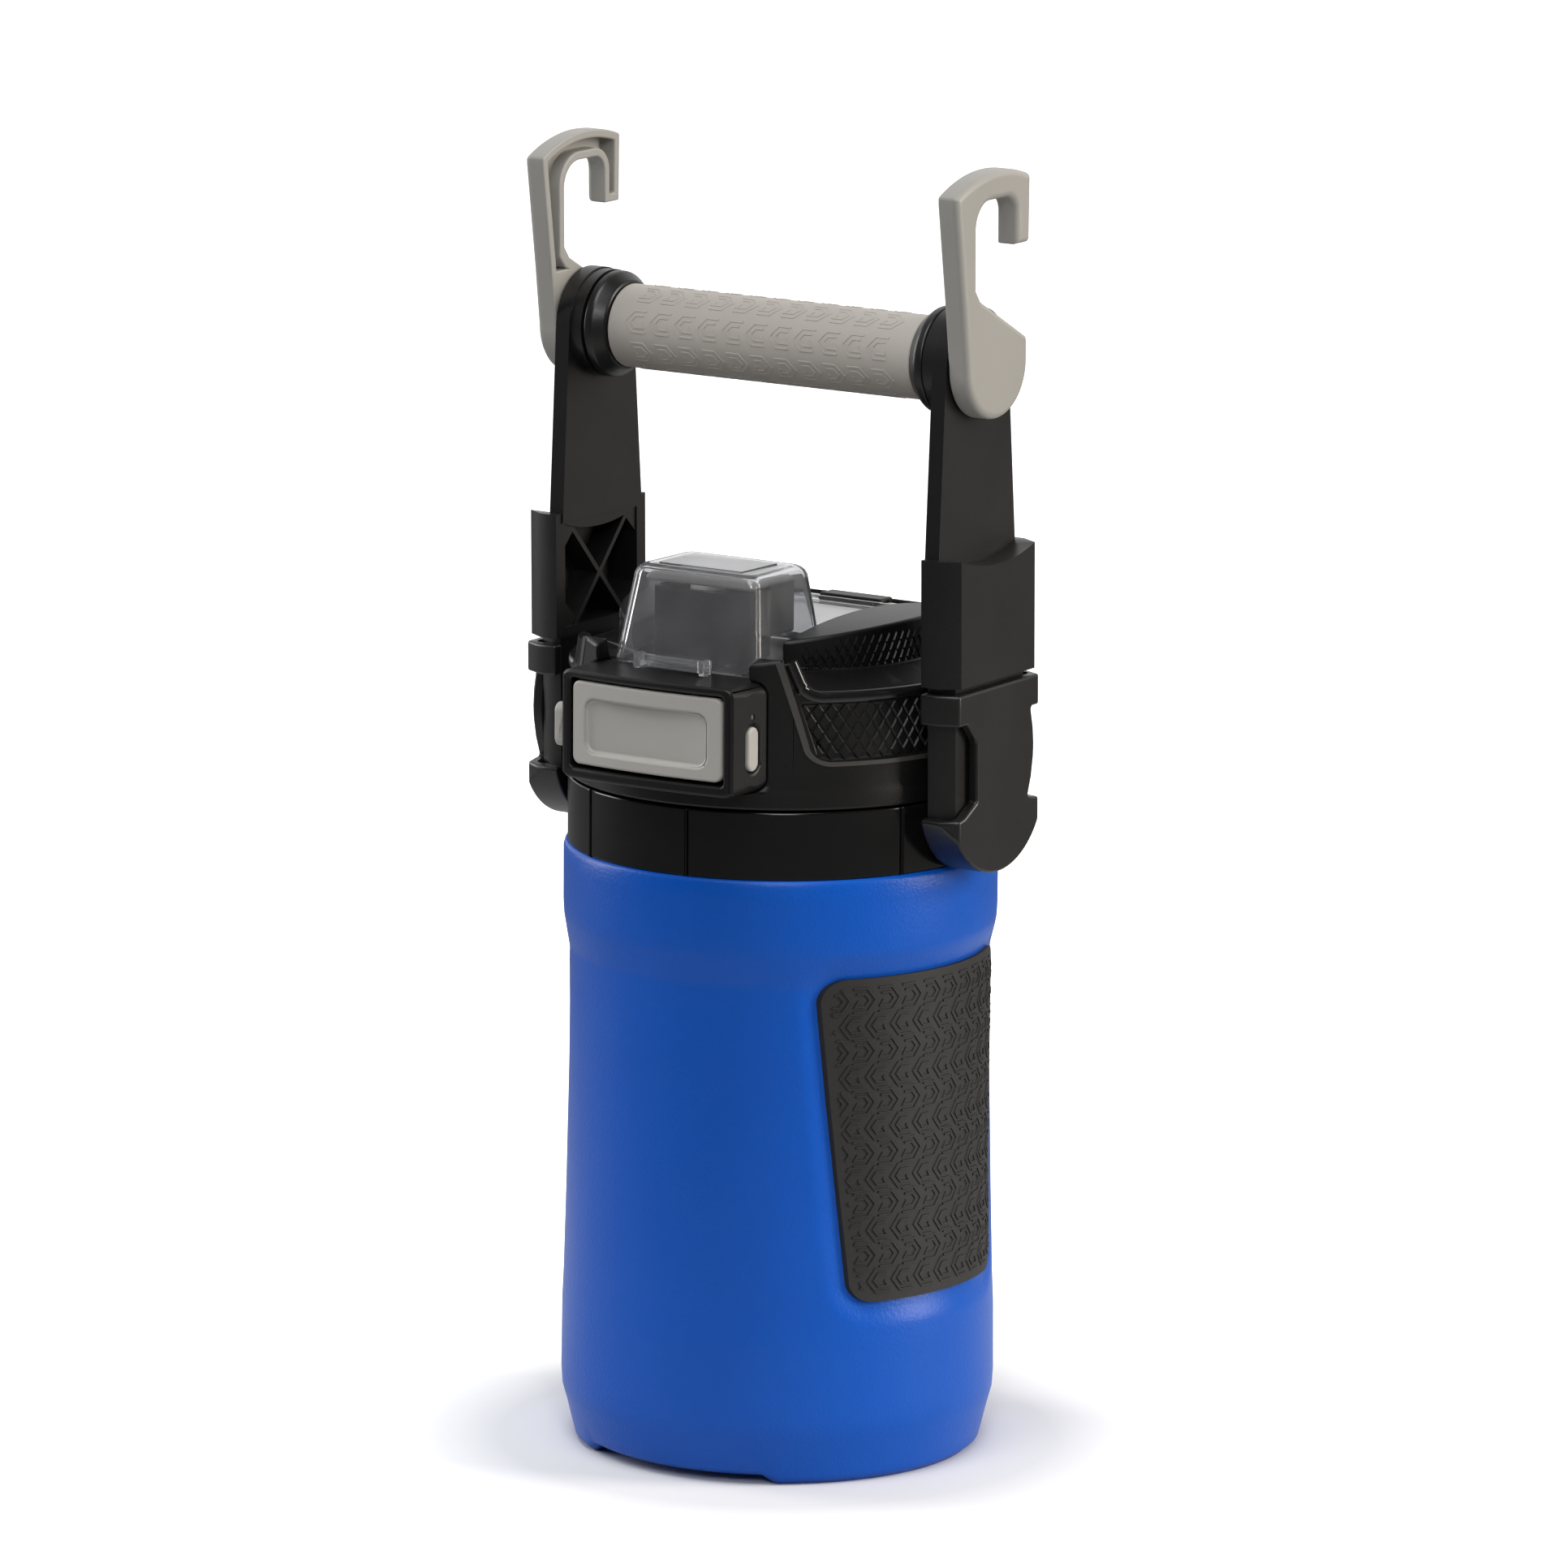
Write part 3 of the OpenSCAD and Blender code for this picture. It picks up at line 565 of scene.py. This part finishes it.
for side in (1, -1):
    chamfer = fine(filleted(*CHAMFER_U), 1.6)
    rib(chamfer_form, chamfer, on_round(side, CHAMFER_RADIUS), width=1.25, height=0.22, skirt=0.1)
    lip = fine(filleted(*LIP_U), 1.5)
    bead(lip_form, [Vector(on_round(side, LIP_RADIUS)(across, z, 0)) for across, z in lip], LIP_BEAD, 14)
add_piece("lid_recess_chamfer", chamfer_form, chamfer_sheen_finish, "lid", "lid")
smoothed(add_piece("lid_recess_lip", lip_form, lip_finish, "lid", "lid"))

# ---- Button housing, pins and springs ----------------------------------------------------
# A rounded box on the front of the lid holds the release button, its steel pin with two
# coil springs, and the slot of the lock bar.

low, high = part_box("button_pin")
pin_y, pin_z = (low.y + high.y) / 2 / MM, (low.z + high.z) / 2 / MM
PIN_HOLE_REACH = 2.4


def at_pin_hole(edge):
    return all(math.hypot(v.co.y / MM - pin_y, v.co.z / MM - pin_z) < PIN_HOLE_REACH for v in edge.verts)


moulded_copy("button_housing", "housing_box", lid_plastic, "lid", "lid", 1.1, 4, kept_sharp=at_pin_hole)
moulded_copy("hinge_knuckle", "hinge_knuckle_block", lid_plastic, "lid", "lid", 0.7)
for node in ("cover_hinge_pin", "button_pin"):
    moulded_copy(node, f"{node}_steel", steel, "lid", "steel", 0.2)

spring_form = bmesh.new()
SPRING_STARTS, SPRING_LENGTH, COIL_RADIUS, WIRE_RADIUS = (-13.6, 8.4), 5.2, 1.6, 0.34
SPRING_TURNS, SPRING_STEPS, WIRE_STEPS = 7, 22, 7
for start in SPRING_STARTS:
    coil = []
    for i in range(SPRING_TURNS * SPRING_STEPS + 1):
        turn = 2 * math.pi * i / SPRING_STEPS
        x = start + SPRING_LENGTH * i / (SPRING_TURNS * SPRING_STEPS)
        ring = []
        for j in range(WIRE_STEPS):
            round_wire = 2 * math.pi * j / WIRE_STEPS
            reach = COIL_RADIUS + WIRE_RADIUS * math.cos(round_wire)
            spot = Vector((x + WIRE_RADIUS * math.sin(round_wire), pin_y + reach * math.cos(turn),
                           pin_z + reach * math.sin(turn)))
            ring.append(spring_form.verts.new(spot * MM))
        coil.append(ring)
    for first, second in zip(coil, coil[1:]):
        for j in range(WIRE_STEPS):
            k = (j + 1) % WIRE_STEPS
            spring_form.faces.new((first[j], first[k], second[k], second[j]))
    spring_form.faces.new(coil[0])
    spring_form.faces.new(coil[-1])
smoothed(add_piece("button_spring_coils", spring_form, steel, "lid", "steel", "button_springs"))

# ---- Push button and lock bar ------------------------------------------------------------
# The grey button rocks on its pin to free the cover. The lock bar slides across behind it;
# its long end carries a small raised padlock sign.

BUTTON_GREY, BUTTON_PALE = (0.385, 0.375, 0.350), (0.430, 0.419, 0.391)
button_grey = moulded_finish("button_grey_plastic", BUTTON_GREY, BUTTON_PALE, 0.44, 0.5, 0.012,
                             fixed={"Specular IOR Level": 0.45})
moulded_copy("push_button", "button_face", button_grey, "button", "hook", 0.8, 3)
moulded_copy("lock_slider", "lock_bar", button_grey, "lock", "hook", 0.7, 3)

low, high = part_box("lock_slider")
sign_x, sign_z, sign_y = low.x / MM + 3.7, (low.z + high.z) / 2 / MM, low.y / MM


def on_lock(x, z, up):
    return x, sign_y - up, z


SIGN_HALF, SIGN_FOOT, SIGN_SHOULDER, SHACKLE_RADIUS = 1.7, -3.0, -0.1, 1.2
sign_form = bmesh.new()
foot, shoulder = sign_z + SIGN_FOOT, sign_z + SIGN_SHOULDER
body_sign = [(sign_x - SIGN_HALF, foot), (sign_x + SIGN_HALF, foot),
             (sign_x + SIGN_HALF, shoulder), (sign_x - SIGN_HALF, shoulder)]
rib(sign_form, body_sign, on_lock, 0.5, 0.22, 0.1, closed=True)
shackle = [(sign_x - 1.1, shoulder), (sign_x - 1.1, sign_z + 1.3)]
for a in range(20, 190, 20):
    shackle.append((sign_x + 0.1 - SHACKLE_RADIUS * math.cos(math.radians(a)),
                    sign_z + 1.6 + SHACKLE_RADIUS * math.sin(math.radians(a))))
rib(sign_form, shackle, on_lock, 0.5, 0.22, 0.1)
add_piece("lock_bar_sign", sign_form, button_grey, "lock", "hook")

# ---- Spout -------------------------------------------------------------------------------
# The drinking spout is a glossy black block that stands up from the lid, with a bore down to
# the plug.

moulded_copy("spout", "spout_block", collar_gloss, "lid", "collar", 0.9, clamped=True)

# ---- Spout cover -------------------------------------------------------------------------
# A clear polycarbonate dome with a flat tail that runs back to its hinge, and a small clasp in
# front that the button's latch holds. Inside sits a grey cap with a silicone stopper.

clear = bpy.data.materials.new("cover_clear")
clear.use_nodes = True
clear.node_tree.nodes.clear()
wire = Wire(clear.node_tree)
haze = noise(wire, wire.node("ShaderNodeTexCoord", out=3), 9, 4.0)
glass = wire.node("ShaderNodeBsdfPrincipled", None, {
    "Base Color": blended(wire, haze, (0.90, 0.905, 0.92), (0.95, 0.955, 0.97)),
    "Roughness": 0.02 + haze * 0.04, "IOR": 1.45, "Transmission Weight": 1.0,
    "Specular IOR Level": 0.5})
# a painted reflection: a grey surface mixed in at 5 to 15 percent gives the clear plastic the grey look of
# reflections and of what lies behind it
painted_reflection_film = wire.node("ShaderNodeBsdfPrincipled", None, {
    "Base Color": blended(wire, haze, (0.50, 0.50, 0.52), (0.62, 0.62, 0.64)),
    "Roughness": 0.12 + haze * 0.1})
surface = wire.node("ShaderNodeMixShader", None, {0: 0.05 + haze * 0.10, 1: glass, 2: painted_reflection_film})
wire.node("ShaderNodeOutputMaterial", None, {"Surface": surface})

DOME_FRONT, DOME_BACK, DOME_HALF, DOME_TOP = -53.0, -15.3, 26.2, 276.0
DOME_RAKE_FRONT, DOME_RAKE_BACK, DOME_RAKE_SIDE = 4.5, 2.0, 3.3
DOME_CORNER, DOME_FOOT, FOOT_SLOPE = 4.2, 246.6, 0.141
DOME_WALL, OUTER_ROUND, INNER_ROUND = 2.0, 4.0, 2.2
DOME_SHARES = (0, 0.25, 0.5, 0.75, 1, 1.2, 1.4, 1.6, 1.8, 2)
CORNER_STEPS = 8


def dome_ring(share, inset, top_round):
    """One ring of the dome: share is 0 at its foot, 1 where its top round starts, and 2 on the flat top."""
    rise, tuck = min(share, 1.0), 0.0
    top = DOME_TOP - inset
    if share > 1:
        turn = (share - 1) * math.pi / 2
        tuck = top_round * (1 - math.cos(turn))
    front = DOME_FRONT + DOME_RAKE_FRONT * rise + inset + tuck
    back = DOME_BACK - DOME_RAKE_BACK * rise - inset - tuck
    half = DOME_HALF - DOME_RAKE_SIDE * rise - inset - tuck
    corner = max(DOME_CORNER - inset - tuck * 0.6, 0.8)
    spots = []
    for x_way, y_way, first in ((1, 1, 0), (-1, 1, 90), (-1, -1, 180), (1, -1, 270)):
        for i in range(CORNER_STEPS + 1):
            a = math.radians(first + 90 * i / CORNER_STEPS)
            x = x_way * (half - corner) + corner * math.cos(a)
            y = (back if y_way > 0 else front) - y_way * corner + corner * math.sin(a)
            foot = DOME_FOOT + (y - DOME_FRONT) * FOOT_SLOPE
            straight = top - top_round
            z = between(foot, straight, rise)
            if share > 1:
                z = straight + top_round * math.sin((share - 1) * math.pi / 2)
            spots.append((x, y, z))
    return spots


cover_form = bmesh.new()
outside = [dome_ring(share, 0, OUTER_ROUND) for share in DOME_SHARES]
inside = [dome_ring(share, DOME_WALL, INNER_ROUND) for share in reversed(DOME_SHARES)]
rows = [[cover_form.verts.new(Vector(p) * MM) for p in ring] for ring in outside]
rows_in = [[cover_form.verts.new(Vector(p) * MM) for p in ring] for ring in inside]
count = len(rows[0])
for group in (rows, rows_in, [rows_in[-1], rows[0]]):
    for low_ring, high_ring in zip(group, group[1:]):
        for i in range(count):
            j = (i + 1) % count
            cover_form.faces.new((low_ring[i], low_ring[j], high_ring[j], high_ring[i]))
cover_form.faces.new(rows[-1])
cover_form.faces.new(rows_in[0])
smoothed(add_piece("cover_dome", cover_form, clear, "cover", "clear", "spout_cover"), 50)


def slab(form, outline, low_z, high_z):
    """A flat plate: an outline of (x, y) points between two heights, in mm."""
    under = [form.verts.new(Vector((x, y, low_z)) * MM) for x, y in outline]
    over = [form.verts.new(Vector((x, y, high_z)) * MM) for x, y in outline]
    form.faces.new(list(reversed(under)))
    form.faces.new(over)
    for i in range(len(outline)):
        j = (i + 1) % len(outline)
        form.faces.new((under[i], under[j], over[j], over[i]))


def rounded(piece, radius_mm, steps=3):
    corner = piece.modifiers.new("corner", "BEVEL")
    corner.width, corner.segments, corner.limit_method = radius_mm * MM, steps, "ANGLE"
    corner.angle_limit = math.radians(30)
    evened = piece.modifiers.new("evened", "WEIGHTED_NORMAL")
    evened.keep_sharp = True
    return smoothed(piece, 60)


TAIL_FRONT, TAIL_BACK, HINGE_BACK = -17.3, 34.4, 40.0
TAIL_FRONT_HALF, TAIL_BACK_HALF, EAR_OUTER, EAR_INNER = 25.3, 22.0, 21.0, 11.9
TAIL_HEIGHTS, RIM_HEIGHTS, RIM_WIDTH = (252.2, 254.4), (254.3, 255.7), 1.6
tail_form = bmesh.new()
tail_side = [(TAIL_FRONT_HALF, TAIL_FRONT), (TAIL_BACK_HALF, TAIL_BACK), (EAR_OUTER, HINGE_BACK),
             (EAR_INNER, HINGE_BACK), (EAR_INNER, TAIL_BACK)]
slab(tail_form, tail_side + [(-x, y) for x, y in reversed(tail_side)], *TAIL_HEIGHTS)
for s in (-1, 1):
    slab(tail_form, [(s * TAIL_FRONT_HALF, TAIL_FRONT), (s * TAIL_BACK_HALF, TAIL_BACK),
                     (s * (TAIL_BACK_HALF - RIM_WIDTH), TAIL_BACK),
                     (s * (TAIL_FRONT_HALF - RIM_WIDTH), TAIL_FRONT)], *RIM_HEIGHTS)
rear_half = TAIL_BACK_HALF - RIM_WIDTH
slab(tail_form, [(-rear_half, TAIL_BACK - RIM_WIDTH), (rear_half, TAIL_BACK - RIM_WIDTH),
                 (rear_half, TAIL_BACK), (-rear_half, TAIL_BACK)], *RIM_HEIGHTS)
rounded(add_piece("cover_tail", tail_form, clear, "cover", "clear"), 0.4)


def plate(form, x, y, z):
    """A plain plate between two values of x, y and z, in mm."""
    slab(form, [(x[0], y[0]), (x[1], y[0]), (x[1], y[1]), (x[0], y[1])], *z)


CLASP_HALF, CLASP_EAR, CLASP_FRONT = 10.7, 11.8, -60.4
clasp_form = bmesh.new()
plate(clasp_form, (-CLASP_HALF, CLASP_HALF), (-60.2, -53.1), (247.5, 249.2))
plate(clasp_form, (-CLASP_HALF, CLASP_HALF), (CLASP_FRONT, -58.7), (249.25, 251.4))
for s in (-1, 1):
    plate(clasp_form, (s * CLASP_EAR - 1, s * CLASP_EAR + 1), (CLASP_FRONT, -56), (246.8, 251.4))
rounded(add_piece("cover_clasp", clasp_form, clear, "cover", "clear"), 0.4)
raised_form = bmesh.new()
plate(raised_form, (-15, 15), (-44, -25), (275.9, 276.4))
rounded(add_piece("cover_top_pad", raised_form, clear, "cover", "clear"), 0.25)

moulded_copy("cover_cap", "cover_inner_cap", hook_nylon, "cover", "hook", 0.8)
moulded_copy("cover_seal", "cover_stopper", silicone, "cover", "seal", 0.3)

# ---- Studio ------------------------------------------------------------------------------
# A floor under soft boxes that the camera sees white by a painted glow, and the camera at eye height to the
# right of the jug.

floor_form = bmesh.new()
bmesh.ops.create_grid(floor_form, x_segments=2, y_segments=2, size=30)
floor_mesh = bpy.data.meshes.new("studio_floor")
floor_form.to_mesh(floor_mesh)
floor_form.free()
floor = bpy.data.objects.new("studio_floor", floor_mesh)
bpy.context.scene.collection.objects.link(floor)
painted_floor = bpy.data.materials.new("floor_painted_glow_and_bounce")
painted_floor.use_nodes = True
painted_floor.node_tree.nodes.clear()
wire = Wire(painted_floor.node_tree)
# the camera sees the floor shown below, which is a painted glow: the floor glows white of itself
seen = wire.node("ShaderNodeLightPath", out=0)
place = wire.node("ShaderNodeTexCoord", out=3)
away = wire.node("ShaderNodeVectorMath", {"operation": "LENGTH"}, {0: place}, out=1)
# lift is the share of painted glow: none within 85 mm of the jug's axis and full white beyond 190 mm, so the
# floor round the foot is painted darker and only the lamps light it there
lift = wire.node("ShaderNodeMapRange", None, {"Value": away, "From Min": 0.085, "From Max": 0.19,
                                              "To Min": 0.0, "To Max": 1.0})
shown = wire.node("ShaderNodeBsdfPrincipled", None, {
    "Base Color": (0.8, 0.8, 0.8, 1), "Roughness": 0.9, "Specular IOR Level": 0.1,
    "Emission Color": blended(wire, lift, (0, 0, 0), (1, 1, 1)), "Emission Strength": 1.0})
# every other ray sees a darker copy of the floor, a painted shade: grey 0.60 within 0.25 m of the jug,
# falling to 0.14 beyond 0.8 m, which sets how much light bounces onto the jug and what its reflections show
near = wire.node("ShaderNodeMapRange", None, {"Value": away, "From Min": 0.25, "From Max": 0.8,
                                              "To Min": 1.0, "To Max": 0.0})
bounced = wire.node("ShaderNodeBsdfPrincipled", None, {
    "Base Color": blended(wire, near, (0.14, 0.14, 0.14), (0.60, 0.60, 0.60)), "Roughness": 0.9,
    "Specular IOR Level": 0.1})
surface = wire.node("ShaderNodeMixShader", None, {0: seen, 1: bounced, 2: shown})
wire.node("ShaderNodeOutputMaterial", None, {"Surface": surface})
floor.data.materials.append(painted_floor)

# the sweep behind the jug is bright and the room in front of it is dark
world = bpy.data.worlds.new("studio")
bpy.context.scene.world = world
world.use_nodes = True
world.node_tree.nodes.clear()
wire = Wire(world.node_tree)
BEHIND = (-0.5615, 0.8275, 0.05)
facing = wire.node("ShaderNodeVectorMath", {"operation": "DOT_PRODUCT"}, {
    0: wire.node("ShaderNodeTexCoord", out=0), 1: BEHIND}, out=1)
glow = wire.node("ShaderNodeMapRange", None, {"Value": facing, "From Min": 0.25, "From Max": 0.75,
                                              "To Min": 0.03, "To Max": 1.0})
sky = wire.node("ShaderNodeBackground", None, {"Color": (1, 1, 1, 1), "Strength": glow})
wire.node("ShaderNodeOutputWorld", None, {"Surface": sky})


def soft_box(name, where, aim, width, height, power, colour=(1, 1, 1)):
    lamp = bpy.data.lights.new(name, "AREA")
    lamp.shape, lamp.size, lamp.size_y, lamp.energy, lamp.color = "RECTANGLE", width, height, power, colour
    holder = bpy.data.objects.new(name, lamp)
    bpy.context.scene.collection.objects.link(holder)
    holder.location = where
    holder.rotation_euler = (Vector(aim) - Vector(where)).to_track_quat("-Z", "Y").to_euler()


soft_box("box_left", (-2.1, -0.5, 0.9), (0, 0, 0.2), 0.8, 1.6, 26)
soft_box("box_right", (2.0, 0.9, 0.9), (0, 0, 0.2), 0.8, 1.6, 50, (1.0, 0.93, 0.85))
soft_box("box_near", (1.5, -2.1, 1.7), (0, 0, 0.2), 0.7, 0.7, 22)
soft_box("box_top", (0.3, -0.9, 2.4), (0, 0, 0.1), 1.4, 1.4, 34)

EYE = (1.69384, -2.49585, 0.80114)
AZIMUTH, PITCH, ROLL = math.radians(34.148), math.radians(11.211), math.radians(0.415)
camera = bpy.data.cameras.new("camera")
camera.sensor_width, camera.lens = 36.0, 232.73
camera.clip_start, camera.clip_end = 0.1, 100
eye = bpy.data.objects.new("camera", camera)
bpy.context.scene.collection.objects.link(eye)
pan, rolled = Matrix.Rotation(AZIMUTH, 4, "Z"), Matrix.Rotation(ROLL, 4, "Z")
tilt = Matrix.Rotation(math.pi / 2 - PITCH, 4, "X")
eye.matrix_world = Matrix.Translation(EYE) @ pan @ tilt @ rolled
bpy.context.scene.camera = eye
bpy.context.scene.view_settings.view_transform = "Standard"
